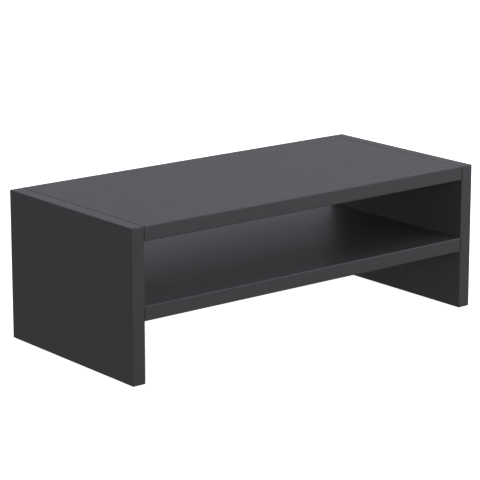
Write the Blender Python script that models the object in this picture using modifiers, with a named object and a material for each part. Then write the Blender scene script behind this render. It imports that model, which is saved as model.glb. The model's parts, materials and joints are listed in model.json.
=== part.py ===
"""A fixed two-tier desk riser: four thick melamine-faced boards held by cam fittings and dowels.

Two full-height side panels carry a top panel, flush with their upper edges, and a full-depth shelf.
The origin is on the desk under the middle of the riser. The width runs along X, the front faces -Y
and +Z is up. Each board is sawn particleboard with glued edge bands over its visible narrow faces.
"""

from itertools import product
from math import asin, ceil, cos, hypot, radians, sin, sqrt

import bmesh
import bpy
from mathutils import Matrix, Vector

INCH = 0.0254
MM = 0.001

# The riser's outside and its boards.
WIDTH = 30 * INCH
DEPTH = 14 * INCH
BOARD = 1 * INCH
BAY = 4.25 * INCH
HEIGHT = 2 * BAY + 2 * BOARD

# Gaps between pieces that touch: a plain joint, and the thin glue line under an edge band.
GAP = 0.3 * MM
GLUE_LINE = 0.2 * MM

# Edge bands.
BAND = 2.0 * MM
BAND_ROUND = 1.7 * MM
BAND_SEGMENTS = 5
BUTT_ROUND = 0.25
END_CHAMFER = 0.3 * MM

# Bumper pads under the side panels.
PAD_RADIUS = 8 * MM
PAD_THICKNESS = 1.2 * MM
PAD_ROUND = 0.4 * MM
PAD_INSET = 30 * MM
PAD_LIFT = PAD_THICKNESS + GAP

# Fittings: each board end has a cam, a bolt and a dowel towards the front and again towards the rear.
BOLT_INSET = 50 * MM
DOWEL_INSET = BOLT_INSET + 32 * MM
CAM_SETBACK = 34 * MM
FITTING_HEIGHT = BOARD / 2

# Cam: a disc in a blind bore that opens on the board's underside. Its heights are from the bolt's
# axis, and its angles from the direction of the bolt when locked.
CAM_RADIUS = 7.2 * MM
CAM_BORE_RADIUS = CAM_RADIUS + GAP
CAM_HEIGHT = 17 * MM
CAM_FACE = -FITTING_HEIGHT + GAP
CAM_CHAMFER = 0.5 * MM
CAM_STEPS = 36
CAM_TRAVEL = 200
CAVITY_LOCKED = 4.95 * MM
CAVITY_OPEN = 5.9 * MM
CAVITY_HALF_HEIGHT = 3.6 * MM
CAVITY_OVERRUN = 50
CROSS_LENGTH = 8.4 * MM
CROSS_WIDTH = 1.9 * MM
CROSS_DEPTH = 4.2 * MM
ARROW_REACH = 6.3 * MM
ARROW_LENGTH = 1.5 * MM
ARROW_WIDTH = 2.1 * MM
ARROW_DEPTH = 0.6 * MM
ARC_STEP = 15

# Connecting bolt, turned, with its zero at the side panel's inner face.
BOLT_HEAD_RADIUS = 3.25 * MM
BOLT_HEAD_OFFSET = 1.4 * MM
BOLT_NECK_RADIUS = 1.75 * MM
BOLT_SHANK_RADIUS = 3.0 * MM
BOLT_COLLAR_RADIUS = 3.6 * MM
BOLT_COLLAR = 1.4 * MM
THREAD_LENGTH = 11 * MM
THREAD_RADIUS = 3.2 * MM
THREAD_ROOT_RADIUS = 2.3 * MM
THREAD_RIDGES = 5
BOLT_STEPS = 16
BOLT_HEAD_STEP = 30
BOLT_HOLE_RADIUS = THREAD_RADIUS + GAP
BOLT_HOLE_DEPTH = THREAD_LENGTH + 1.5 * MM
SHANK_HOLE_RADIUS = 4 * MM

# Fluted dowel.
DOWEL_RADIUS = 4 * MM
DOWEL_FLUTE_RADIUS = 3.7 * MM
DOWEL_LENGTH = 30 * MM
DOWEL_IN_SIDE = 12 * MM
DOWEL_CHAMFER = 0.9 * MM
DOWEL_FLUTES = 10
DOWEL_HOLE_RADIUS = DOWEL_RADIUS + GAP
DOWEL_END_ROOM = 1 * MM

HOLE_SEGMENTS = 32
CAM_BORE_SEGMENTS = 48
ENTRY_SEGMENTS = 20
PAD_SEGMENTS = 36
CUTTER_OVERSHOOT = 2 * MM
WELD = 0.001 * MM
SMOOTH_ANGLE = radians(30)

# Left and right along X, front and rear along Y, and the height of each level board's underside.
SIDES = {"left": -1, "right": 1}
ENDS = {"front": -1, "rear": 1}
LEVELS = {"top": BAY + BOARD + BAY, "shelf": BAY}


def reset_scene():
    for obj in list(bpy.data.objects):
        bpy.data.objects.remove(obj)


def make_collection(name):
    collection = bpy.data.collections.new(name)
    bpy.context.scene.collection.children.link(collection)
    return collection


def make_material(name, colour, roughness, metallic):
    material = bpy.data.materials.new(name)
    material.use_nodes = True
    shader = material.node_tree.nodes["Principled BSDF"]
    shader.inputs["Base Color"].default_value = (*colour, 1)
    shader.inputs["Roughness"].default_value = roughness
    shader.inputs["Metallic"].default_value = metallic
    material.diffuse_color = (*colour, 1)
    return material


def add_part(name, mesh, material, location=(0, 0, 0), rotation=(0, 0, 0)):
    """One sub-part: its own object, in the riser's collection and under the riser's empty."""
    obj = bpy.data.objects.new(name, mesh)
    obj.location = location
    obj.rotation_euler = rotation
    obj.parent = riser
    if not mesh.materials:
        mesh.materials.append(material)
    parts.objects.link(obj)
    return obj


def add_cutter(name, mesh):
    obj = bpy.data.objects.new(name, mesh)
    obj.hide_render = True
    obj.display_type = "WIRE"
    cutters.objects.link(obj)
    return obj


def cut(obj, cutter):
    boolean = obj.modifiers.new(cutter.name, "BOOLEAN")
    boolean.operation = "DIFFERENCE"
    boolean.solver = "EXACT"
    boolean.object = cutter


def finished_mesh(obj, name):
    """The object's mesh with its modifiers applied. The object itself is removed."""
    bpy.context.view_layer.update()
    mesh = bpy.data.meshes.new_from_object(obj.evaluated_get(bpy.context.evaluated_depsgraph_get()))
    mesh.name = name
    bpy.data.objects.remove(obj)
    return mesh


def smooth(mesh):
    mesh.shade_smooth()
    mesh.set_sharp_from_angle(angle=SMOOTH_ANGLE)


def mesh_from(name, bm):
    mesh = bpy.data.meshes.new(name)
    bm.to_mesh(mesh)
    bm.free()
    return mesh


def box_mesh(name, size):
    bm = bmesh.new()
    bmesh.ops.create_cube(bm, size=1, matrix=Matrix.Diagonal((*size, 1)))
    return mesh_from(name, bm)


def rods_mesh(name, rods):
    """Closed cylinders, one for each (centre, axis, radius, length, segments)."""
    bm = bmesh.new()
    for centre, axis, radius, length, segments in rods:
        turn = Vector((0, 0, 1)).rotation_difference(Vector(axis)).to_matrix().to_4x4()
        bmesh.ops.create_cone(
            bm,
            cap_ends=True,
            segments=segments,
            radius1=radius,
            radius2=radius,
            depth=length,
            matrix=Matrix.Translation(centre) @ turn,
        )
    return mesh_from(name, bm)


def outline_mesh(name, points, low, high):
    """A flat outline in XY, as a solid from the height low to the height high."""
    curve = bpy.data.curves.new(name, "CURVE")
    curve.dimensions = "2D"
    curve.fill_mode = "BOTH"
    curve.extrude = (high - low) / 2
    spline = curve.splines.new("POLY")
    spline.points.add(len(points) - 1)
    for point, (x, y) in zip(spline.points, points):
        point.co = (x, y, 0, 1)
    spline.use_cyclic_u = True
    obj = bpy.data.objects.new(name, curve)
    cutters.objects.link(obj)
    mesh = finished_mesh(obj, name)
    bpy.data.curves.remove(curve)
    bm = bmesh.new()
    bm.from_mesh(mesh)
    bmesh.ops.remove_doubles(bm, verts=bm.verts, dist=WELD)
    bmesh.ops.translate(bm, verts=bm.verts, vec=(0, 0, (low + high) / 2))
    bmesh.ops.recalc_face_normals(bm, faces=bm.faces)
    bm.to_mesh(mesh)
    bm.free()
    return mesh


def turned_mesh(name, profile, steps):
    """A (radius, height) profile, listed from its top to its bottom, turned about Z."""
    mesh = bpy.data.meshes.new(name)
    points = [(radius, 0, height) for radius, height in profile]
    mesh.from_pydata(points, [(i, i + 1) for i in range(len(points) - 1)], [])
    obj = bpy.data.objects.new(name, mesh)
    cutters.objects.link(obj)
    screw = obj.modifiers.new("turn", "SCREW")
    screw.axis = "Z"
    screw.steps = steps
    screw.render_steps = steps
    screw.use_merge_vertices = True
    screw.merge_threshold = WELD
    return finished_mesh(obj, name)


def round_edges(obj, weight_of, width, segments):
    """Rounds the edges for which weight_of(edge centre, edge direction) isn't 0, by that share of the width."""
    bm = bmesh.new()
    bm.from_mesh(obj.data)
    weight = bm.edges.layers.float.new("bevel_weight_edge")
    for edge in bm.edges:
        start, end = (vert.co for vert in edge.verts)
        edge[weight] = weight_of((start + end) / 2, (end - start).normalized())
    bm.to_mesh(obj.data)
    bm.free()
    bevel = obj.modifiers.new("round", "BEVEL")
    bevel.limit_method = "WEIGHT"
    bevel.width = width
    bevel.segments = segments


def add_band(name, size, centre, outward, end_round=0.0, corner_round=0.0):
    """An edge band. Its long outer edges are rounded, and so are its ends by these shares.

    end_round is for the outer edge of an end, and corner_round for its edges through the thickness.
    """
    band = add_part(name, box_mesh(name, size), finishes["edge_band"], centre)
    outward = Vector(outward)
    long_axis = size.index(max(size))

    def weight_of(middle, direction):
        if abs(direction.dot(outward)) > 0.5:
            return corner_round
        if middle.dot(outward) < 0:
            return 0.0
        return 1.0 if abs(direction[long_axis]) > 0.5 else end_round

    round_edges(band, weight_of, BAND_ROUND, BAND_SEGMENTS)
    return band


def add_side_panel(side):
    """A side panel's board, drilled on its inner face, with bands on all four narrow faces."""
    sign = SIDES[side]
    x = sign * (WIDTH - BOARD) / 2
    low = PAD_LIFT
    middle = (low + HEIGHT) / 2
    cover = BAND + GLUE_LINE
    board_size = (BOARD, DEPTH - 2 * cover, HEIGHT - low - 2 * cover)
    board = add_part(
        f"{side}_side_panel", box_mesh(f"{side}_side_panel", board_size), finishes["board"], (x, 0, middle)
    )

    inner_face = sign * (WIDTH / 2 - BOARD)
    holes = []
    for base, end in product(LEVELS.values(), ENDS.values()):
        for inset, radius, depth in (
            (BOLT_INSET, BOLT_HOLE_RADIUS, BOLT_HOLE_DEPTH),
            (DOWEL_INSET, DOWEL_HOLE_RADIUS, DOWEL_IN_SIDE + DOWEL_END_ROOM),
        ):
            centre_x = inner_face + sign * (depth - CUTTER_OVERSHOOT) / 2
            centre = (centre_x, end * (DEPTH / 2 - inset), base + FITTING_HEIGHT)
            holes.append((centre, (1, 0, 0), radius, depth + CUTTER_OVERSHOOT, HOLE_SEGMENTS))
    cut(board, add_cutter(f"{side}_side_holes", rods_mesh(f"{side}_side_holes", holes)))

    for end, direction in ENDS.items():
        size = (BOARD, BAND, HEIGHT - low)
        centre = (x, direction * (DEPTH - BAND) / 2, middle)
        add_band(f"{side}_side_{end}_band", size, centre, (0, direction, 0), end_round=1.0, corner_round=1.0)
    for edge, direction, z in (("bottom", -1, low + BAND / 2), ("top", 1, HEIGHT - BAND / 2)):
        size = (BOARD, DEPTH - 2 * cover, BAND)
        add_band(f"{side}_side_{edge}_band", size, (x, 0, z), (0, 0, direction))


def add_level_board(level):
    """The top or the shelf: a board bored for its fittings, with a band at the front and at the rear."""
    middle = LEVELS[level] + FITTING_HEIGHT
    length = WIDTH - 2 * BOARD - 2 * GAP
    board_size = (length, DEPTH - 2 * (BAND + GLUE_LINE), BOARD)
    name = f"{level}_panel"
    board = add_part(name, box_mesh(name, board_size), finishes["board"], (0, 0, middle))

    def weight_of(centre, direction):
        return 1.0 if abs(centre.x) > length / 2 - WELD and abs(direction.y) > 0.5 else 0.0

    round_edges(board, weight_of, END_CHAMFER, 1)

    cam_bores = []
    end_holes = []
    for sign, end in product(SIDES.values(), ENDS.values()):
        inner_face = sign * (WIDTH / 2 - BOARD)
        bolt_y = end * (DEPTH / 2 - BOLT_INSET)
        dowel_y = end * (DEPTH / 2 - DOWEL_INSET)
        bore_top = CAM_FACE + CAM_HEIGHT + GAP
        bore_bottom = -FITTING_HEIGHT - CUTTER_OVERSHOOT
        bore_centre = (inner_face - sign * CAM_SETBACK, bolt_y, (bore_top + bore_bottom) / 2)
        cam_bores.append((bore_centre, (0, 0, 1), CAM_BORE_RADIUS, bore_top - bore_bottom, CAM_BORE_SEGMENTS))
        for y, radius, depth in (
            (bolt_y, SHANK_HOLE_RADIUS, CAM_SETBACK),
            (dowel_y, DOWEL_HOLE_RADIUS, DOWEL_LENGTH - DOWEL_IN_SIDE + DOWEL_END_ROOM),
        ):
            centre = (inner_face - sign * (depth - CUTTER_OVERSHOOT) / 2, y, 0)
            end_holes.append((centre, (1, 0, 0), radius, depth + CUTTER_OVERSHOOT, HOLE_SEGMENTS))
    for label, rods in (("cam_bores", cam_bores), ("end_holes", end_holes)):
        cutter = add_cutter(f"{level}_{label}", rods_mesh(f"{level}_{label}", rods))
        cutter.location = board.location
        cut(board, cutter)

    for end, direction in ENDS.items():
        size = (length, BAND, BOARD)
        centre = (0, direction * (DEPTH - BAND) / 2, middle)
        add_band(f"{level}_{end}_band", size, centre, (0, direction, 0), end_round=BUTT_ROUND)


def polar(radius, degrees):
    return radius * cos(radians(degrees)), radius * sin(radians(degrees))


def cam_cavity_outline():
    """The hollow that holds the bolt's head. Its wall draws in from the open end to the locked end."""
    first = -CAVITY_OVERRUN
    last = CAM_TRAVEL + CAVITY_OVERRUN
    points = []
    for degrees in range(first, last + 1, ARC_STEP):
        share = min(max(degrees / CAM_TRAVEL, 0), 1)
        points.append(polar(CAVITY_LOCKED + (CAVITY_OPEN - CAVITY_LOCKED) * share, degrees))
    return points


def cam_slot_outline():
    """The slot in the cam's wall that the bolt's neck travels along, from locked to open."""
    half_width = BOLT_NECK_RADIUS + GAP
    reach = CAM_RADIUS + CUTTER_OVERSHOOT
    side = asin(half_width / reach)
    start = -side
    end = radians(CAM_TRAVEL) + side
    count = ceil(CAM_TRAVEL / ARC_STEP)
    points = []
    for i in range(count + 1):
        angle = start + (end - start) * i / count
        points.append((reach * cos(angle), reach * sin(angle)))
    open_direction = Vector(polar(1, CAM_TRAVEL))
    left_of_open = Vector((-open_direction.y, open_direction.x))
    inner = BOLT_NECK_RADIUS
    points.append(tuple(open_direction * inner + left_of_open * half_width))
    points.append((inner, -half_width))
    return points


def cross_outline(length, width):
    """A plus sign, anticlockwise from the lower right of its upright."""
    long_half = length / 2
    half = width / 2
    corners = ((half, -long_half), (half, -half), (long_half, -half))
    points = []
    for quarter in range(4):
        for x, y in corners:
            turned = Matrix.Rotation(quarter * radians(90), 2) @ Vector((x, y))
            points.append(tuple(turned))
    return points


def arrow_outline():
    """A small arrowhead at the cam's rim. It points to the bolt when the cam is open."""
    out = Vector(polar(1, CAM_TRAVEL))
    across = Vector((-out.y, out.x))
    tip = out * ARROW_REACH
    base = out * (ARROW_REACH - ARROW_LENGTH)
    half = across * ARROW_WIDTH / 2
    return [tuple(tip), tuple(base + half), tuple(base - half)]


def make_cam_mesh():
    """The die-cast cam, with its axis on Z, the bolt's axis at height 0 and the locked bolt towards +X."""
    top = CAM_FACE + CAM_HEIGHT
    profile = [
        (0, top),
        (CAM_RADIUS - CAM_CHAMFER, top),
        (CAM_RADIUS, top - CAM_CHAMFER),
        (CAM_RADIUS, CAM_FACE + CAM_CHAMFER),
        (CAM_RADIUS - CAM_CHAMFER, CAM_FACE),
        (0, CAM_FACE),
    ]
    cam = bpy.data.objects.new("cam", turned_mesh("cam", profile, CAM_STEPS))
    parts.objects.link(cam)

    slot_half_height = BOLT_NECK_RADIUS + GAP
    entry_radius = BOLT_HEAD_RADIUS + GAP
    entry_length = CAM_RADIUS + CUTTER_OVERSHOOT
    below_face = CAM_FACE - CUTTER_OVERSHOOT
    entry_x, entry_y = polar(entry_length / 2, CAM_TRAVEL)
    entry = ((entry_x, entry_y, 0), (*polar(1, CAM_TRAVEL), 0), entry_radius, entry_length, ENTRY_SEGMENTS)
    shapes = (
        outline_mesh("cam_cavity", cam_cavity_outline(), -CAVITY_HALF_HEIGHT, CAVITY_HALF_HEIGHT),
        outline_mesh("cam_slot", cam_slot_outline(), -slot_half_height, slot_half_height),
        rods_mesh("cam_entry", [entry]),
        outline_mesh("cam_cross", cross_outline(CROSS_LENGTH, CROSS_WIDTH), below_face, CAM_FACE + CROSS_DEPTH),
        outline_mesh("cam_arrow", arrow_outline(), below_face, CAM_FACE + ARROW_DEPTH),
    )
    tools = [add_cutter(shape.name, shape) for shape in shapes]
    for tool in tools:
        cut(cam, tool)
    mesh = finished_mesh(cam, "cam")
    for tool in tools:
        bpy.data.objects.remove(tool)
    smooth(mesh)
    return mesh


def make_bolt_mesh():
    """The connecting bolt, with its axis on Z: threaded below the zero, and its round head at the top."""
    head_centre = CAM_SETBACK - BOLT_HEAD_OFFSET
    neck_top = head_centre - sqrt(BOLT_HEAD_RADIUS**2 - BOLT_NECK_RADIUS**2)
    neck_bottom = CAM_SETBACK - CAM_BORE_RADIUS - GAP
    shoulder = BOLT_SHANK_RADIUS - BOLT_NECK_RADIUS
    profile = []
    for degrees in range(0, 121, BOLT_HEAD_STEP):
        radius = BOLT_HEAD_RADIUS * sin(radians(degrees))
        profile.append((radius, head_centre + BOLT_HEAD_RADIUS * cos(radians(degrees))))
    profile += [
        (BOLT_NECK_RADIUS, neck_top),
        (BOLT_NECK_RADIUS, neck_bottom),
        (BOLT_SHANK_RADIUS, neck_bottom - shoulder),
        (BOLT_SHANK_RADIUS, GAP + BOLT_COLLAR),
        (BOLT_COLLAR_RADIUS, GAP + BOLT_COLLAR),
        (BOLT_COLLAR_RADIUS, GAP),
        (THREAD_ROOT_RADIUS, GAP),
    ]
    pitch = (THREAD_LENGTH - GAP) / (THREAD_RIDGES + 1)
    for i in range(THREAD_RIDGES):
        ridge = -GAP - (i + 0.5) * pitch
        profile.append((THREAD_RADIUS, ridge))
        profile.append((THREAD_ROOT_RADIUS, ridge - pitch / 2))
    profile.append((THREAD_ROOT_RADIUS / 2, -THREAD_LENGTH))
    profile.append((0, -THREAD_LENGTH))
    mesh = turned_mesh("bolt", profile, BOLT_STEPS)
    smooth(mesh)
    return mesh


def make_dowel_mesh():
    """The fluted dowel, with its axis on Z and its middle at the origin."""
    rod = ((0, 0, 0), (0, 0, 1), DOWEL_RADIUS, DOWEL_LENGTH, 2 * DOWEL_FLUTES)
    mesh = rods_mesh("dowel", [rod])
    bm = bmesh.new()
    bm.from_mesh(mesh)
    half_flute = radians(360) / (2 * DOWEL_FLUTES)
    for vert in bm.verts:
        index = round(Vector((1, 0)).angle_signed(Vector(vert.co.xy)) / half_flute)
        if index % 2:
            vert.co.xy *= DOWEL_FLUTE_RADIUS / DOWEL_RADIUS
    rims = [edge for edge in bm.edges if abs(edge.verts[0].co.z - edge.verts[1].co.z) < WELD]
    bmesh.ops.bevel(bm, geom=rims, offset=DOWEL_CHAMFER, segments=1, affect="EDGES")
    bm.to_mesh(mesh)
    bm.free()
    return mesh


def add_fittings():
    """The cam, bolt and dowel of each joint. A cam turns about its own Z axis."""
    cam_mesh = make_cam_mesh()
    bolt_mesh = make_bolt_mesh()
    dowel_mesh = make_dowel_mesh()
    for (level, base), (side, sign), (end, direction) in product(LEVELS.items(), SIDES.items(), ENDS.items()):
        joint = f"{level}_{side}_{end}"
        inner_face = sign * (WIDTH / 2 - BOARD)
        bolt_y = direction * (DEPTH / 2 - BOLT_INSET)
        dowel_y = direction * (DEPTH / 2 - DOWEL_INSET)
        z = base + FITTING_HEIGHT
        to_side = radians(0 if sign > 0 else 180)
        lie_down = (0, radians(-90) * sign, 0)
        dowel_x = inner_face + sign * (DOWEL_IN_SIDE - DOWEL_LENGTH / 2)
        cam_place = (inner_face - sign * CAM_SETBACK, bolt_y, z)
        add_part(f"{joint}_cam", cam_mesh, finishes["cam"], cam_place, (0, 0, to_side))
        add_part(f"{joint}_bolt", bolt_mesh, finishes["bolt"], (inner_face, bolt_y, z), lie_down)
        add_part(f"{joint}_dowel", dowel_mesh, finishes["dowel"], (dowel_x, dowel_y, z), lie_down)


def add_pads():
    rod = ((0, 0, 0), (0, 0, 1), PAD_RADIUS, PAD_THICKNESS, PAD_SEGMENTS)
    mesh = rods_mesh("pad", [rod])
    bm = bmesh.new()
    bm.from_mesh(mesh)
    rim = []
    for edge in bm.edges:
        is_low = max(vert.co.z for vert in edge.verts) < 0
        if is_low and hypot(*edge.verts[0].co.xy) > PAD_RADIUS - WELD:
            rim.append(edge)
    bmesh.ops.bevel(bm, geom=rim, offset=PAD_ROUND, segments=2, profile=0.5, affect="EDGES")
    bm.to_mesh(mesh)
    bm.free()
    smooth(mesh)
    for (side, sign), (end, direction) in product(SIDES.items(), ENDS.items()):
        place = (sign * (WIDTH - BOARD) / 2, direction * (DEPTH / 2 - PAD_INSET), PAD_THICKNESS / 2)
        add_part(f"{side}_{end}_pad", mesh, finishes["pad"], place)


# The collections, the empty and the finishes, which the functions above use, and then every part.
reset_scene()
parts = make_collection("desk_riser")
cutters = make_collection("cutters")
riser = bpy.data.objects.new("desk_riser_origin", None)
parts.objects.link(riser)
finishes = {
    "board": make_material("charcoal_melamine", (0.052, 0.052, 0.055), 0.45, 0.0),
    "edge_band": make_material("charcoal_edge_band", (0.056, 0.056, 0.059), 0.4, 0.0),
    "cam": make_material("die_cast_zinc", (0.52, 0.52, 0.53), 0.42, 1.0),
    "bolt": make_material("zinc_plated_steel", (0.62, 0.62, 0.64), 0.3, 1.0),
    "dowel": make_material("beech", (0.58, 0.40, 0.23), 0.7, 0.0),
    "pad": make_material("black_rubber", (0.02, 0.02, 0.02), 0.85, 0.0),
}
for side_name in SIDES:
    add_side_panel(side_name)
for level_name in LEVELS:
    add_level_board(level_name)
add_fittings()
add_pads()
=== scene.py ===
"""The looks of the desk riser: charcoal melamine boards, plastic edge bands and zinc fittings.

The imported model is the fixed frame. Its boards and bands keep their shapes and get finishes here,
and finer meshes stand for its cams, bolts, dowels and pads.
"""

import json
from itertools import pairwise
from math import acos, asin, cos, degrees, pi, radians, sin

import bmesh
import bpy
from mathutils import Matrix, Vector


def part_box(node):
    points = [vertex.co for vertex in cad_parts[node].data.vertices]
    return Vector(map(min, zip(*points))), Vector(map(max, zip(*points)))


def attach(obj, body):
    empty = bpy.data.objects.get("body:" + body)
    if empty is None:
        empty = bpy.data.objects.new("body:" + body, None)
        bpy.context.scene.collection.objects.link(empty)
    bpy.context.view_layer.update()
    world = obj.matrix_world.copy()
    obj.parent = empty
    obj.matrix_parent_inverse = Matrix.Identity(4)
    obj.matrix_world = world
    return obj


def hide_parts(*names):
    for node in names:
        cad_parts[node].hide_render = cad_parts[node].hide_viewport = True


MM = 0.001

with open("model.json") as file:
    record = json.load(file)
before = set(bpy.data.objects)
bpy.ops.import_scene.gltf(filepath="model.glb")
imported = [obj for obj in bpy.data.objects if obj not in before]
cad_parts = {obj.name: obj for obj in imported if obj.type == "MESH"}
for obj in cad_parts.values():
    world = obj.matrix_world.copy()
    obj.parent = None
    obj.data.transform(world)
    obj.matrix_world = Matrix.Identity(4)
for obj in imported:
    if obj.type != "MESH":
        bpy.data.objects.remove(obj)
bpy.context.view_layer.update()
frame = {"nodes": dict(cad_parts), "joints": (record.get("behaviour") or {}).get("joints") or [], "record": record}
nodes = frame["nodes"]


def names_ending(ending):
    return sorted(name for name in nodes if name.endswith(ending))


SIDE_PANELS = ["left_side_panel", "right_side_panel"]
LEVEL_PANELS = ["top_panel", "shelf_panel"]
BANDS = names_ending("_band")
CAMS = names_ending("_cam")
DOWELS = names_ending("_dowel")
PADS = names_ending("_pad")
SIGN = {"left": -1, "right": 1}


# Material building blocks.

# Most of a noise's values lie between these two.
NOISE_LOW = 0.3
NOISE_HIGH = 0.7


class Finish:
    """A node material. Its methods add nodes and return the output to link onwards."""

    def __init__(self, name, roughness=0.5, metallic=0.0):
        self.material = bpy.data.materials.new(name)
        self.material.use_nodes = True
        self.tree = self.material.node_tree
        self.shader = self.tree.nodes["Principled BSDF"]
        self.shader.inputs["Roughness"].default_value = roughness
        self.shader.inputs["Metallic"].default_value = metallic
        self.place = self.add("ShaderNodeTexCoord").outputs["Object"]

    def add(self, kind, inputs=None, **settings):
        node = self.tree.nodes.new(kind)
        for name, value in settings.items():
            setattr(node, name, value)
        for name, value in (inputs or {}).items():
            self.feed(node.inputs[name], value)
        return node

    def feed(self, socket, value):
        if isinstance(value, bpy.types.NodeSocket):
            self.tree.links.new(value, socket)
        else:
            socket.default_value = value

    def set(self, socket, value):
        self.feed(self.shader.inputs[socket], value)

    def math(self, operation, *values):
        node = self.add("ShaderNodeMath", operation=operation)
        for socket, value in zip(node.inputs, values):
            self.feed(socket, value)
        return node.outputs[0]

    def scaled(self, size):
        """The place on the object, in units of size: one length, or one each along X, Y and Z."""
        lengths = (size, size, size) if isinstance(size, float) else size
        node = self.add("ShaderNodeMapping", {"Vector": self.place})
        node.inputs["Scale"].default_value = [1 / length for length in lengths]
        return node.outputs["Vector"]

    def noise(self, size, detail=2.0, roughness=0.5, distortion=0.0):
        inputs = {
            "Vector": self.scaled(size),
            "Scale": 1.0,
            "Detail": detail,
            "Roughness": roughness,
            "Distortion": distortion,
        }
        return self.add("ShaderNodeTexNoise", inputs).outputs["Fac"]

    def cells(self, size, feature="F1", output="Distance"):
        inputs = {"Vector": self.scaled(size), "Scale": 1.0}
        return self.add("ShaderNodeTexVoronoi", inputs, feature=feature).outputs[output]

    def ramp(self, value, low, high, start, end):
        """The value from low..high, mapped to start..end."""
        inputs = {"Value": value, "From Min": low, "From Max": high, "To Min": start, "To Max": end}
        return self.add("ShaderNodeMapRange", inputs).outputs["Result"]

    def varied(self, noise, start, end):
        """A number from start to end, by the noise."""
        return self.ramp(noise, NOISE_LOW, NOISE_HIGH, start, end)

    def colours(self, value, *stops):
        """A colour for the value, from (position, (r, g, b)) stops."""
        node = self.add("ShaderNodeValToRGB", {"Fac": value})
        elements = node.color_ramp.elements
        while len(elements) < len(stops):
            elements.new(0.5)
        for element, (position, colour) in zip(elements, stops):
            element.position = position
            element.color = (*colour, 1)
        return node.outputs["Color"]

    def tinted(self, noise, first, second):
        """A colour from first to second, by the noise."""
        return self.colours(noise, (NOISE_LOW, first), (NOISE_HIGH, second))

    def mix(self, share, first, second, blend="MIX"):
        node = self.add("ShaderNodeMix", data_type="RGBA", blend_type=blend)
        factor, one, two = (node.inputs[i] for i in (0, 6, 7))
        for socket, value in ((factor, share), (one, first), (two, second)):
            self.feed(socket, value)
        return node.outputs[2]

    def bump(self, height, depth, strength=1.0, after=None):
        inputs = {"Height": height, "Distance": depth, "Strength": strength}
        if after is not None:
            inputs["Normal"] = after
        return self.add("ShaderNodeBump", inputs).outputs["Normal"]


def grey(value):
    return (value, value, value)


CHARCOAL = 0.045
BOARD_ROUGHNESS = 0.475
BAND_ROUGHNESS = 0.46
ROUGHNESS_SPREAD = 0.012
LAMINATE = 0.35 * MM
# Tones of the boards' narrow faces: glue under the bands, and painted shade at the board ends in the joints.
GLUE_AND_SHADE_TONE = (0.022, 0.020, 0.018)
STAIN_AND_SHADE_TONE = (0.045, 0.040, 0.035)

# The painted shade line at the joints, a dark line that stands in for the shadow in the gap: full up to
# its core and gone at its reach, from its middle, which is offset from the gap's middle towards the side panel.
JOINT_SHADE_CORE = 0.3 * MM
JOINT_SHADE_REACH = 0.9 * MM
JOINT_SHADE_OFFSET = 0.55 * MM
JOINT_SHADE_ROUGHENING = 0.3
JOINT_SHADE_TONE = (0.004, 0.004, 0.004, 1)

# What is this near to a board's outline belongs to its outside.
EDGE_WIDTH = 0.2 * MM


def spread(finish, noise, roughness):
    """The roughness, varied a little by the noise."""
    return finish.varied(noise, roughness - ROUGHNESS_SPREAD, roughness + ROUGHNESS_SPREAD)


def distance(finish, value, middle):
    return finish.math("ABSOLUTE", finish.math("SUBTRACT", value, middle))


def painted_joint_shade(finish):
    """Painted shade, from 0 to 1: the dark line that stands in for the shadow where a level board's end meets a
    side panel.

    Most of it lies in the groove that the rounding of the side panel's band leaves there.
    """
    at_x, _, at_z = finish.add("ShaderNodeSeparateXYZ", {"Vector": finish.place}).outputs
    gap = (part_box("top_panel")[1].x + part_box("right_side_panel")[0].x) / 2
    off_line = distance(finish, finish.math("ABSOLUTE", at_x), gap + JOINT_SHADE_OFFSET)
    line = finish.ramp(off_line, JOINT_SHADE_CORE, JOINT_SHADE_REACH, 1.0, 0.0)
    beside = 0.0
    for panel in LEVEL_PANELS:
        low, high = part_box(panel)
        off_board = distance(finish, at_z, (low.z + high.z) / 2)
        half = (high.z - low.z) / 2
        beside_board = finish.ramp(off_board, half, half + EDGE_WIDTH, 1.0, 0.0)
        beside = finish.math("MAXIMUM", beside, beside_board)
    return finish.math("MULTIPLY", line, beside)


def set_charcoal(finish, colour, roughness):
    """The charcoal colour and roughness, with the painted shade line at the joints."""
    line = painted_joint_shade(finish)
    # The joint's line darkens the colour as painted shade, and roughens the surface there.
    finish.set("Base Color", finish.mix(line, colour, JOINT_SHADE_TONE))
    roughening = finish.math("MULTIPLY", line, JOINT_SHADE_ROUGHENING)
    finish.set("Roughness", finish.math("ADD", roughness, roughening))


def melamine(name):
    """The boards' decorative face: satin charcoal with a fine pebbled press texture."""
    finish = Finish(name)
    cloud = finish.noise(50 * MM, detail=3.0)
    print_grain = finish.noise(1.2 * MM, detail=2.0)
    cloud_share = finish.math("MULTIPLY", cloud, 0.2)
    tone = finish.math("ADD", cloud_share, finish.math("MULTIPLY", print_grain, 0.8))
    smear = finish.noise((40 * MM, 25 * MM, 30 * MM), detail=2.0, distortion=0.4)
    colour = finish.tinted(tone, grey(CHARCOAL * 0.92), grey(CHARCOAL * 1.08))
    set_charcoal(finish, colour, spread(finish, smear, BOARD_ROUGHNESS))

    pebble = finish.cells(0.9 * MM, feature="SMOOTH_F1")
    ripple = finish.noise(30 * MM, detail=1.0)
    waved = finish.bump(ripple, 0.01 * MM, 0.5)
    finish.set("Normal", finish.bump(pebble, 0.012 * MM, 0.6, waved))
    return finish.material


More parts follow.
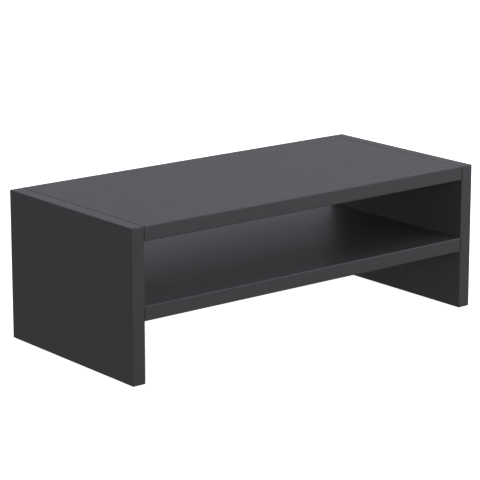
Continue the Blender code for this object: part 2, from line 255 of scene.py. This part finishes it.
def edge_band(name, axis):
    """Extruded plastic edging, a little smoother than the boards, with fine lines along its length."""
    finish = Finish(name)
    stretch = [0.35 * MM, 0.35 * MM, 0.35 * MM]
    stretch[axis] = 60 * MM
    lines = finish.noise(stretch, detail=2.0)
    cloud = finish.noise(40 * MM, detail=2.0)
    colour = finish.tinted(cloud, grey(CHARCOAL * 0.99), grey(CHARCOAL * 1.07))
    set_charcoal(finish, colour, spread(finish, lines, BAND_ROUGHNESS))
    orange_peel = finish.noise(1.5 * MM, detail=1.0)
    peeled = finish.bump(orange_peel, 0.01 * MM, 0.5)
    finish.set("Normal", finish.bump(lines, 0.006 * MM, 0.5, peeled))
    return finish.material


def chipboard(name, axis, low, high):
    """Sawn particleboard between two laminated faces: coarse chips in the core, fine ones outside it."""
    finish = Finish(name, roughness=0.85)
    across = finish.add("ShaderNodeSeparateXYZ", {"Vector": finish.place}).outputs[axis]
    from_middle = finish.math("ABSOLUTE", finish.ramp(across, low, high, -1.0, 1.0))
    is_core = finish.ramp(from_middle, 0.55, 0.7, 1.0, 0.0)
    is_laminate = finish.math("GREATER_THAN", from_middle, 1 - 2 * LAMINATE / (high - low))

    coarse_chip = (2.6 * MM, 2.2 * MM, 1.1 * MM)
    fine_chip = (0.9 * MM, 0.8 * MM, 0.5 * MM)
    coarse = finish.cells(coarse_chip, output="Color")
    fine = finish.cells(fine_chip, output="Color")
    chips = finish.mix(is_core, fine, coarse)
    chip_tone = finish.add("ShaderNodeSeparateColor", {"Color": chips}).outputs["Red"]
    wood = finish.colours(
        chip_tone,
        (0.0, (0.17, 0.095, 0.045)),
        (0.35, (0.36, 0.23, 0.12)),
        (0.75, (0.50, 0.35, 0.19)),
        (1.0, (0.62, 0.47, 0.29)),
    )
    dust = finish.noise(0.5 * MM, detail=3.0)
    wood = finish.mix(0.35, wood, finish.tinted(dust, (0.2, 0.13, 0.07), (0.6, 0.46, 0.29)))
    gaps = finish.cells(coarse_chip, feature="DISTANCE_TO_EDGE")
    hollow_and_shade = finish.math("MULTIPLY", finish.ramp(gaps, 0.0, 0.12, 0.55, 0.0), is_core)
    # Painted shade: the hollows between the core's chips are darkened as if in shadow; the same mask sinks them as
    # pits.
    wood = finish.mix(hollow_and_shade, wood, (0.05, 0.03, 0.015, 1))
    finish.set("Base Color", finish.mix(is_laminate, wood, (*grey(CHARCOAL), 1)))

    pits = finish.bump(finish.math("SUBTRACT", 1.0, hollow_and_shade), 0.3 * MM, 0.7)
    finish.set("Normal", finish.bump(dust, 0.12 * MM, 0.6, pits))
    return finish.material


def glue_and_shade_edge(name):
    """A board's narrow face, under its edge band or in a joint: chipboard darkened by glue under the bands, and
    darkened as painted shade at the board ends in the joints.
    """
    finish = Finish(name)
    smear = finish.noise(3 * MM, detail=2.0)
    # Painted shade: these dark tones also cover the board ends in the joints, standing in for the seam's shadow.
    finish.set("Base Color", finish.tinted(smear, GLUE_AND_SHADE_TONE, STAIN_AND_SHADE_TONE))
    finish.set("Roughness", finish.varied(smear, 0.4, 0.6))
    finish.set("Normal", finish.bump(smear, 0.05 * MM, 0.5))
    return finish.material


def cast_zinc(name):
    """Die-cast zinc: a dull, slightly mottled grey skin."""
    finish = Finish(name, metallic=1.0)
    skin = finish.noise(1.6 * MM, detail=4.0, roughness=0.6)
    grain = finish.noise(0.18 * MM, detail=2.0)
    finish.set("Base Color", finish.tinted(skin, (0.58, 0.58, 0.60), (0.74, 0.74, 0.76)))
    finish.set("Roughness", finish.varied(skin, 0.52, 0.38))
    finish.set("Normal", finish.bump(grain, 0.015 * MM, 0.6))
    return finish.material


def plated_steel(name):
    """Zinc-plated steel with a faint blue and yellow passivation."""
    finish = Finish(name, metallic=1.0)
    film = finish.noise(7 * MM, detail=2.0)
    blue, white, yellow = (0.60, 0.62, 0.66), (0.66, 0.66, 0.64), (0.64, 0.61, 0.52)
    passivation = finish.colours(film, (NOISE_LOW, blue), (0.5, white), (NOISE_HIGH, yellow))
    finish.set("Base Color", passivation)
    turning = finish.noise((0.12 * MM, 4 * MM, 4 * MM), detail=1.0)
    finish.set("Roughness", finish.varied(turning, 0.22, 0.32))
    finish.set("Normal", finish.bump(turning, 0.01 * MM, 0.5))
    return finish.material


def beech(name):
    """Beech along X, with the short dark flecks of its rays."""
    finish = Finish(name)
    grain = finish.noise((30 * MM, 0.9 * MM, 0.9 * MM), detail=3.0, distortion=0.3)
    flecks = finish.cells((3.2 * MM, 0.5 * MM, 0.5 * MM))
    wood = finish.tinted(grain, (0.50, 0.31, 0.16), (0.66, 0.46, 0.27))
    marks = finish.colours(flecks, (0.05, grey(0.62)), (0.22, grey(1.0)))
    finish.set("Base Color", finish.mix(1.0, wood, marks, "MULTIPLY"))
    finish.set("Roughness", finish.varied(grain, 0.58, 0.72))
    finish.set("Normal", finish.bump(grain, 0.04 * MM, 0.6))
    return finish.material


def rubber(name):
    """Matt black rubber with a fine grain and a faint bloom."""
    finish = Finish(name)
    grain = finish.noise(0.4 * MM, detail=3.0)
    bloom = finish.noise(5 * MM, detail=2.0)
    finish.set("Base Color", finish.tinted(bloom, grey(0.010), grey(0.022)))
    finish.set("Roughness", finish.varied(bloom, 0.75, 0.9))
    finish.set("Normal", finish.bump(grain, 0.03 * MM, 0.6))
    return finish.material


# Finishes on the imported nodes.


def give(obj, *materials):
    obj.data.materials.clear()
    for material in materials:
        obj.data.materials.append(material)


def finish_board(name, thin_axis):
    """Laminate on the board's two broad faces, narrow faces darkened by glue and, in the joints, by painted shade,
    and a sawn core in its holes.
    """
    obj = nodes[name]
    low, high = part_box(name)
    sawn = chipboard(f"sawn_{name}", thin_axis, low[thin_axis], high[thin_axis])
    give(obj, laminate, glued_and_shaded, sawn)
    for face in obj.data.polygons:
        at = face.center
        outer = [min(at[axis] - low[axis], high[axis] - at[axis]) < EDGE_WIDTH for axis in range(3)]
        if outer[thin_axis] and abs(face.normal[thin_axis]) > 0.5:
            face.material_index = 0
        elif any(outer):
            face.material_index = 1
        else:
            face.material_index = 2


laminate = melamine("charcoal_melamine")
glued_and_shaded = glue_and_shade_edge("glue_and_shade_edge")
for panel in SIDE_PANELS:
    finish_board(panel, 0)
for panel in LEVEL_PANELS:
    finish_board(panel, 2)

bandings = [edge_band(f"edge_band_along_{'xyz'[axis]}", axis) for axis in range(3)]
for band in BANDS:
    low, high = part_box(band)
    size = high - low
    give(nodes[band], bandings[list(size).index(max(size))])


# Fine fittings. Each mesh is made about Z at the origin. Its pieces lie where the frame's nodes are.

WELD = 0.001 * MM
SMOOTH_ANGLE = radians(35)
# How far a cutter reaches past the surface it cuts.
PAST = 2 * MM

# The cam: its heights are from the bolt's axis. Its angles are in degrees from the locked bolt.
CAM_COLUMNS = 96
CAM_ROUND = 0.5 * MM
CAM_TRAVEL = -frame["joints"][0]["range_deg"][0]
CAM_GAP = 0.3 * MM
CAVITY_LOCKED = 4.95 * MM
CAVITY_OPEN = 5.9 * MM
CAVITY_HALF_HEIGHT = 3.6 * MM
CAVITY_OVERRUN = 50
CROSS_LENGTH = 8.4 * MM
CROSS_WIDTH = 1.9 * MM
CROSS_DEPTH = 4.2 * MM
CROSS_END_SCALE = 0.62
CROSS_MOUTH_SCALE = 1.1
CROSS_MOUTH_DEPTH = 0.25 * MM
ARROW_REACH = 6.3 * MM
ARROW_LENGTH = 1.5 * MM
ARROW_WIDTH = 2.1 * MM
ARROW_DEPTH = 0.6 * MM
ARC_STEP = 5

# The connecting bolt: its heights are from the side panel's inner face, towards its round head.
# The flat on the head reaches HEAD_FLAT degrees from its axis.
BOLT_COLUMNS = 36
HEAD_RADIUS = 3.25 * MM
HEAD_FLAT = 24
NECK_RADIUS = 1.75 * MM
SHANK_RADIUS = 3.0 * MM
COLLAR_RADIUS = 3.6 * MM
COLLAR_LOW = 0.3 * MM
COLLAR_HIGH = 1.7 * MM
COLLAR_ROUND = 0.2 * MM
THREAD_TIP = -11 * MM
THREAD_RADIUS = 3.2 * MM
THREAD_ROOT = 2.3 * MM
THREAD_PITCH = 1.8 * MM
THREAD_RIDGE = ((0.0, 0.0), (0.26, 0.0), (0.46, 1.0), (0.54, 1.0), (0.74, 0.0))
DRIVE_LENGTH = 2.7 * MM
DRIVE_WIDTH = 0.75 * MM
DRIVE_DEPTH = 1.7 * MM
DRIVE_END_SCALE = 0.5

# The dowel and the pad: their heights are from the dowel's middle and from the pad's underside.
DOWEL_FLUTES = 20
DOWEL_FLUTE_DEPTH = 0.35 * MM
DOWEL_COLUMNS = 8 * DOWEL_FLUTES
DOWEL_CHAMFER = 1.2 * MM

PAD_COLUMNS = 72
PAD_ROUND = 0.5 * MM
PAD_GROOVES = (2.4 * MM, 4.0 * MM, 5.6 * MM)
PAD_GROOVE = 0.25 * MM
PAD_EDGE = 0.1 * MM


def add_rows(bm, rows):
    """Joins each closed row of vertices to the next one with a ring of faces."""
    for low, high in pairwise(rows):
        for i in range(len(low)):
            j = (i + 1) % len(low)
            bm.faces.new((low[i], low[j], high[j], high[i]))


def add_solid(bm, rows):
    """Joins the rows and closes both ends."""
    add_rows(bm, rows)
    bm.faces.new(reversed(rows[0]))
    bm.faces.new(rows[-1])


def ring(bm, radius_of, height, columns):
    """A level row of vertices about Z. radius_of gives the radius at an angle."""
    row = []
    for i in range(columns):
        angle = 2 * pi * i / columns
        radius = radius_of(angle)
        row.append(bm.verts.new((radius * cos(angle), radius * sin(angle), height)))
    return row


def round_ring(bm, radius, height, columns):
    return ring(bm, lambda angle: radius, height, columns)


def arc(radius, height, bend, start, end, steps=4):
    """The points of an arc about (radius, height). Its angles are in degrees from straight out."""
    points = []
    for i in range(steps + 1):
        angle = radians(start + (end - start) * i / steps)
        points.append((radius + bend * cos(angle), height + bend * sin(angle)))
    return points


def mesh_from(name, bm):
    bmesh.ops.remove_doubles(bm, verts=bm.verts, dist=WELD)
    bmesh.ops.recalc_face_normals(bm, faces=bm.faces)
    mesh = bpy.data.meshes.new(name)
    bm.to_mesh(mesh)
    bm.free()
    return mesh


def turned_mesh(name, profile, columns):
    """A (radius, height) profile, from its bottom to its top, turned about Z."""
    bm = bmesh.new()
    add_solid(bm, [round_ring(bm, radius, height, columns) for radius, height in profile])
    return mesh_from(name, bm)


def outline_mesh(name, points, levels):
    """A flat outline in XY as a solid through its levels, each a (height, scale of the outline)."""
    bm = bmesh.new()
    rows = []
    for height, scale in levels:
        rows.append([bm.verts.new((x * scale, y * scale, height)) for x, y in points])
    add_solid(bm, rows)
    return mesh_from(name, bm)


def link_new(name, data):
    """A new object, in the scene."""
    obj = bpy.data.objects.new(name, data)
    bpy.context.scene.collection.objects.link(obj)
    return obj


def modified_mesh(obj):
    """The object's mesh with its modifiers applied. The object itself is removed."""
    bpy.context.view_layer.update()
    evaluated = obj.evaluated_get(bpy.context.evaluated_depsgraph_get())
    mesh = bpy.data.meshes.new_from_object(evaluated)
    mesh.name = obj.name
    bpy.data.objects.remove(obj)
    return mesh


def carved(name, mesh, cutter_meshes):
    """The mesh with each of the cutters taken out of it."""
    obj = link_new(name, mesh)
    cutters = [link_new(cutter_mesh.name, cutter_mesh) for cutter_mesh in cutter_meshes]
    for cutter in cutters:
        boolean = obj.modifiers.new(cutter.name, "BOOLEAN")
        boolean.operation = "DIFFERENCE"
        boolean.solver = "EXACT"
        boolean.object = cutter
    result = modified_mesh(obj)
    for cutter in cutters:
        bpy.data.objects.remove(cutter)
    return result


def polar(radius, angle):
    """The point of XY at a radius and an angle in degrees."""
    return radius * cos(radians(angle)), radius * sin(radians(angle))


def cross_outline(length, width):
    """A plus sign, anticlockwise from the lower right of its upright."""
    corners = ((width / 2, -length / 2), (width / 2, -width / 2), (length / 2, -width / 2))
    points = []
    for quarter in range(4):
        turn = Matrix.Rotation(quarter * pi / 2, 2)
        points += [tuple(turn @ Vector(corner)) for corner in corners]
    return points


def cavity_outline():
    """The hollow around the bolt's head. Its wall draws in from the open end to the locked end."""
    points = []
    for angle in range(-CAVITY_OVERRUN, round(CAM_TRAVEL) + CAVITY_OVERRUN + 1, ARC_STEP):
        share = min(max(angle / CAM_TRAVEL, 0), 1)
        points.append(polar(CAVITY_LOCKED + (CAVITY_OPEN - CAVITY_LOCKED) * share, angle))
    return points


def slot_outline(reach, half_width):
    """The slot in the cam's wall that the bolt's neck travels along, from locked to open."""
    half_angle = asin(half_width / reach)
    start = -half_angle
    end = radians(CAM_TRAVEL) + half_angle
    count = round(CAM_TRAVEL / ARC_STEP)
    points = []
    for i in range(count + 1):
        angle = start + (end - start) * i / count
        points.append((reach * cos(angle), reach * sin(angle)))
    out = Vector(polar(1, CAM_TRAVEL))
    side = Vector((-out.y, out.x))
    points.append(tuple(out * NECK_RADIUS + side * half_width))
    points.append((NECK_RADIUS, -half_width))
    return points


def entry_mesh(reach):
    """The round hole that the bolt's head goes in through when the cam is open."""
    bm = bmesh.new()
    out = Vector((*polar(1, CAM_TRAVEL), 0))
    turn = Vector((0, 0, 1)).rotation_difference(out).to_matrix().to_4x4()
    bmesh.ops.create_cone(
        bm,
        cap_ends=True,
        segments=BOLT_COLUMNS,
        radius1=HEAD_RADIUS + CAM_GAP,
        radius2=HEAD_RADIUS + CAM_GAP,
        depth=reach,
        matrix=Matrix.Translation(out * reach / 2) @ turn,
    )
    return mesh_from("cam_entry", bm)


def arrow_outline():
    """A small arrowhead at the cam's rim, towards the entry hole."""
    out = Vector(polar(1, CAM_TRAVEL))
    across = Vector((-out.y, out.x)) * ARROW_WIDTH / 2
    base = out * (ARROW_REACH - ARROW_LENGTH)
    return [tuple(out * ARROW_REACH), tuple(base + across), tuple(base - across)]


def make_cam_mesh(radius, face, top):
    """The cam, with the screwdriver's cross in its lower face, and the locked bolt towards +X."""
    inner = radius - CAM_ROUND
    profile = arc(inner, face + CAM_ROUND, CAM_ROUND, -90, 0)
    profile += arc(inner, top - CAM_ROUND, CAM_ROUND, 0, 90)
    reach = radius + PAST
    cavity_levels = ((-CAVITY_HALF_HEIGHT, 1), (CAVITY_HALF_HEIGHT, 1))
    half_slot = NECK_RADIUS + CAM_GAP
    slot_levels = ((-half_slot, 1), (half_slot, 1))
    cross = cross_outline(CROSS_LENGTH, CROSS_WIDTH)
    cross_levels = (
        (face - PAST, CROSS_MOUTH_SCALE),
        (face, CROSS_MOUTH_SCALE),
        (face + CROSS_MOUTH_DEPTH, 1),
        (face + CROSS_DEPTH, CROSS_END_SCALE),
    )
    arrow_levels = ((face - PAST, 1), (face + ARROW_DEPTH, 1))
    cutters = [
        outline_mesh("cam_cavity", cavity_outline(), cavity_levels),
        outline_mesh("cam_slot", slot_outline(reach, half_slot), slot_levels),
        entry_mesh(reach),
        outline_mesh("cam_cross", cross, cross_levels),
        outline_mesh("cam_arrow", arrow_outline(), arrow_levels),
    ]
    return carved("cam", turned_mesh("cam_blank", profile, CAM_COLUMNS), cutters)


def add_thread(bm, low, high):
    """A single right-hand helical ridge that fades into the root at both ends, with open ends."""
    turns = round((high - low) / THREAD_PITCH) + 2
    steps = [(turn + share, rise) for turn in range(-1, turns) for share, rise in THREAD_RIDGE]
    columns = []
    for i in range(BOLT_COLUMNS):
        angle = 2 * pi * i / BOLT_COLUMNS
        column = []
        for along, rise in steps:
            height = min(max(low + THREAD_PITCH * (along + i / BOLT_COLUMNS), low), high)
            fade = min((height - low) / THREAD_PITCH, (high - height) / THREAD_PITCH, 1)
            radius = THREAD_ROOT + (THREAD_RADIUS - THREAD_ROOT) * rise * fade
            column.append(bm.verts.new((radius * cos(angle), radius * sin(angle), height)))
        columns.append(column)
    columns.append(columns[0][len(THREAD_RIDGE) :])
    for first, second in pairwise(columns):
        for k in range(len(second) - 1):
            bm.faces.new((first[k], second[k], second[k + 1], first[k + 1]))


def make_bolt_mesh(head_top, neck_start):
    """The bolt, threaded below 0. Its round head at the top has a screwdriver's cross in its end."""
    head_centre = head_top - HEAD_RADIUS
    neck_angle = -degrees(acos(NECK_RADIUS / HEAD_RADIUS))
    collar_inner = COLLAR_RADIUS - COLLAR_ROUND
    tip = [(THREAD_ROOT / 2, THREAD_TIP), (THREAD_ROOT, THREAD_TIP + THREAD_ROOT / 2)]
    body = [(THREAD_ROOT, COLLAR_LOW)]
    body += arc(collar_inner, COLLAR_LOW + COLLAR_ROUND, COLLAR_ROUND, -90, 0, 2)
    body += arc(collar_inner, COLLAR_HIGH - COLLAR_ROUND, COLLAR_ROUND, 0, 90, 2)
    body += [
        (SHANK_RADIUS, COLLAR_HIGH),
        (SHANK_RADIUS, neck_start - (SHANK_RADIUS - NECK_RADIUS)),
        (NECK_RADIUS, neck_start),
    ]
    body += arc(0, head_centre, HEAD_RADIUS, neck_angle, 90 - HEAD_FLAT, 12)
    bm = bmesh.new()
    thread_high = -CAM_GAP
    tip_rows = [round_ring(bm, radius, height, BOLT_COLUMNS) for radius, height in tip]
    body_rows = [round_ring(bm, THREAD_ROOT, thread_high, BOLT_COLUMNS)]
    body_rows += [round_ring(bm, radius, height, BOLT_COLUMNS) for radius, height in body]
    add_rows(bm, tip_rows)
    add_thread(bm, tip[-1][1], thread_high)
    add_rows(bm, body_rows)
    bm.faces.new(reversed(tip_rows[0]))
    bm.faces.new(body_rows[-1])
    end = head_centre + HEAD_RADIUS * cos(radians(HEAD_FLAT))
    drive_levels = ((end - DRIVE_DEPTH, DRIVE_END_SCALE), (end, 1), (end + PAST, 1))
    drive = outline_mesh("drive", cross_outline(DRIVE_LENGTH, DRIVE_WIDTH), drive_levels)
    return carved("bolt", mesh_from("bolt_blank", bm), [drive])


def make_dowel_mesh(radius, length):
    """The dowel, with rounded flutes that run out in its chamfered ends."""

    def fluted(outer):
        def radius_of(angle):
            groove = (0.5 + 0.5 * cos(DOWEL_FLUTES * angle)) ** 2
            return min(outer, radius - DOWEL_FLUTE_DEPTH * groove)

        return radius_of

    end = length / 2
    narrow = radius - DOWEL_CHAMFER / 2
    shoulder = end - DOWEL_CHAMFER
    profile = ((narrow, -end), (radius, -shoulder), (radius, shoulder), (narrow, end))
    bm = bmesh.new()
    add_solid(bm, [ring(bm, fluted(outer), height, DOWEL_COLUMNS) for outer, height in profile])
    return mesh_from("dowel", bm)


def make_pad_mesh(radius, thickness):
    """A rubber foot with a rounded rim, and rings of grip grooves in its underside."""
    profile = []
    for groove in PAD_GROOVES:
        profile += [(groove - PAD_GROOVE, 0), (groove, PAD_GROOVE), (groove + PAD_GROOVE, 0)]
    profile += arc(radius - PAD_ROUND, PAD_ROUND, PAD_ROUND, -90, 0)
    profile += [(radius, thickness - PAD_EDGE), (radius - PAD_EDGE, thickness)]
    return turned_mesh("pad", profile, PAD_COLUMNS)


def add_piece(name, mesh, node, place, turn=(0, 0, 0)):
    """A piece that stands for one node of the frame, and moves with that node's body."""
    piece = link_new(name, mesh)
    piece.location = place
    piece.rotation_euler = turn
    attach(piece, body_of[node])
    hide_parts(node)


def finished(mesh, finish):
    """The mesh with its finish, shaded smooth, with its large flat faces kept flat."""
    mesh.materials.clear()
    mesh.materials.append(finish)
    mesh.shade_smooth()
    mesh.set_sharp_from_angle(angle=SMOOTH_ANGLE)
    obj = link_new(mesh.name, mesh)
    flat = obj.modifiers.new("flat", "WEIGHTED_NORMAL")
    flat.weight = 100
    flat.keep_sharp = True
    return modified_mesh(obj)


def middle_of(node):
    low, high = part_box(node)
    return (low + high) / 2


def add_joint_fittings(joint, cam_mesh, bolt_mesh, dowel_mesh):
    """The cam, bolt and dowel at one end of a board. The bolt and the dowel lie along X."""
    side = joint.split("_")[1]
    sign = SIGN[side]
    lie_down = (0, -sign * pi / 2, 0)
    dowel_place = middle_of(f"{joint}_dowel")
    bolt_middle = middle_of(f"{joint}_bolt")
    bolt_place = (inner_face[side], bolt_middle.y, bolt_middle.z)
    cam_middle = middle_of(f"{joint}_cam")
    cam_place = (cam_middle.x, cam_middle.y, bolt_middle.z)
    cam_turn = (0, 0, 0 if sign > 0 else pi)
    add_piece(f"{joint}_cam_lock", cam_mesh, f"{joint}_cam", cam_place, cam_turn)
    add_piece(f"{joint}_connecting_bolt", bolt_mesh, f"{joint}_bolt", bolt_place, lie_down)
    add_piece(f"{joint}_fluted_dowel", dowel_mesh, f"{joint}_dowel", dowel_place, lie_down)


bodies = frame["record"]["behaviour"]["bodies"]
body_of = {node: body for body, members in bodies.items() for node in members}
inner_face = {"left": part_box("left_side_panel")[1].x, "right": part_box("right_side_panel")[0].x}

cam_low, cam_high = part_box(CAMS[0])
bolt_low, bolt_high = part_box(CAMS[0].replace("_cam", "_bolt"))
dowel_low, dowel_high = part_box(DOWELS[0])
pad_low, pad_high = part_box(PADS[0])
bolt_height = (bolt_low.z + bolt_high.z) / 2
cam_radius = (cam_high.x - cam_low.x) / 2
cam_setback = abs(inner_face["right"]) - abs((cam_low.x + cam_high.x) / 2)
bolt_length = bolt_high.x - bolt_low.x
neck_start = cam_setback - cam_radius - 2 * CAM_GAP
dowel_radius = (dowel_high.y - dowel_low.y) / 2
dowel_length = dowel_high.x - dowel_low.x
pad_radius = (pad_high.x - pad_low.x) / 2

cam_mesh = make_cam_mesh(cam_radius, cam_low.z - bolt_height, cam_high.z - bolt_height)
cam_mesh = finished(cam_mesh, cast_zinc("cast_zinc"))
bolt_mesh = make_bolt_mesh(bolt_length + THREAD_TIP, neck_start)
bolt_mesh = finished(bolt_mesh, plated_steel("plated_steel"))
dowel_mesh = finished(make_dowel_mesh(dowel_radius, dowel_length), beech("beech"))
pad_mesh = finished(make_pad_mesh(pad_radius, pad_high.z - pad_low.z), rubber("rubber"))

for cam in CAMS:
    add_joint_fittings(cam.removesuffix("_cam"), cam_mesh, bolt_mesh, dowel_mesh)
for pad in PADS:
    place = middle_of(pad)
    place.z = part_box(pad)[0].z
    add_piece(f"{pad}_rubber", pad_mesh, pad, place)


# Stage, lights and camera.

FLOOR_GAP = 0.1 * MM
FLOOR_REACH = 12
MIDDLE = Vector((0, 0, 0.13))
STUDIO_WHITE = (0.908, 0.923, 1.0)


def add_floor(seen_glow, bounce):
    """A white light table that is clear from below, so that the underside can be looked at.

    Its glow towards the object, a colour, is set apart from what the camera sees.
    """
    bm = bmesh.new()
    bmesh.ops.create_grid(bm, x_segments=1, y_segments=1, size=FLOOR_REACH)
    mesh = bpy.data.meshes.new("floor")
    bm.to_mesh(mesh)
    bm.free()
    floor = link_new("floor", mesh)
    floor.location.z = -FLOOR_GAP
    finish = Finish("pale_floor")
    matt = finish.add("ShaderNodeBsdfDiffuse", {"Color": (0.8, 0.8, 0.8, 1)})
    glow = finish.add("ShaderNodeEmission", {"Color": (1, 1, 1, 1), "Strength": seen_glow})
    seen = finish.add("ShaderNodeAddShader")
    finish.feed(seen.inputs[0], matt.outputs[0])
    finish.feed(seen.inputs[1], glow.outputs[0])
    bounced = finish.add("ShaderNodeEmission", {"Color": (*bounce, 1)})
    path = finish.add("ShaderNodeLightPath")
    chosen = finish.add("ShaderNodeMixShader", {"Fac": path.outputs["Is Camera Ray"]})
    finish.feed(chosen.inputs[1], bounced.outputs[0])
    finish.feed(chosen.inputs[2], seen.outputs[0])
    from_below = finish.add("ShaderNodeNewGeometry").outputs["Backfacing"]
    clear = finish.add("ShaderNodeBsdfTransparent")
    one_sided = finish.add("ShaderNodeMixShader", {"Fac": from_below})
    finish.feed(one_sided.inputs[1], chosen.outputs[0])
    finish.feed(one_sided.inputs[2], clear.outputs[0])
    finish.feed(finish.tree.nodes["Material Output"].inputs["Surface"], one_sided.outputs[0])
    give(floor, finish.material)


def add_softbox(name, place, size, power):
    """A soft light that points at the object's middle."""
    light = bpy.data.lights.new(name, "AREA")
    light.shape = "RECTANGLE"
    light.size, light.size_y = size
    light.energy = power
    light.color = STUDIO_WHITE
    obj = link_new(name, light)
    obj.location = place
    obj.rotation_euler = (MIDDLE - Vector(place)).to_track_quat("-Z", "Y").to_euler()


def set_world(surround, backdrop):
    """An even surround that lights the object, and a backdrop that only the camera sees, as colours."""
    world = bpy.data.worlds.new("studio")
    bpy.context.scene.world = world
    world.use_nodes = True
    tree = world.node_tree
    path = tree.nodes.new("ShaderNodeLightPath")
    chosen = tree.nodes.new("ShaderNodeMix")
    chosen.data_type = "RGBA"
    chosen.inputs[6].default_value = (*surround, 1)
    chosen.inputs[7].default_value = (*backdrop, 1)
    tree.links.new(path.outputs["Is Camera Ray"], chosen.inputs[0])
    tree.links.new(chosen.outputs[2], tree.nodes["Background"].inputs["Color"])


def add_camera(place, heading, pitch, lens, shift):
    """The camera. Its heading is from +Y towards +X and its pitch is downwards, in degrees."""
    camera = bpy.data.cameras.new("camera")
    camera.sensor_width = 36
    camera.lens = lens
    camera.shift_y = shift
    camera.clip_start = 0.1
    camera.clip_end = 60
    obj = link_new("camera", camera)
    obj.location = place
    obj.rotation_euler = (radians(90 - pitch), 0, -radians(heading))
    bpy.context.scene.camera = obj


add_floor(seen_glow=0.95, bounce=(0.220, 0.207, 0.215))
set_world(surround=(0.527, 0.532, 0.583), backdrop=(1, 1, 1))
add_softbox("overhead", place=(0.1, 0.3, 2.8), size=(4.0, 3.6), power=13.6)
add_softbox("front", place=(2.2, -2.6, 0.9), size=(1.8, 1.4), power=28.3)
add_softbox("camera_side", place=(-2.0, -3.0, 1.3), size=(1.6, 1.2), power=25.3)
add_softbox("right", place=(3.4, 0.2, 0.9), size=(2.0, 1.4), power=46)
add_softbox("edge", place=(1.57, -0.74, 2.06), size=(1.0, 1.0), power=3.2)
add_camera(place=(-2.344, -2.889, 1.106), heading=38.87, pitch=13.12, lens=162.1, shift=-0.1)
bpy.context.scene.view_settings.view_transform = "Standard"
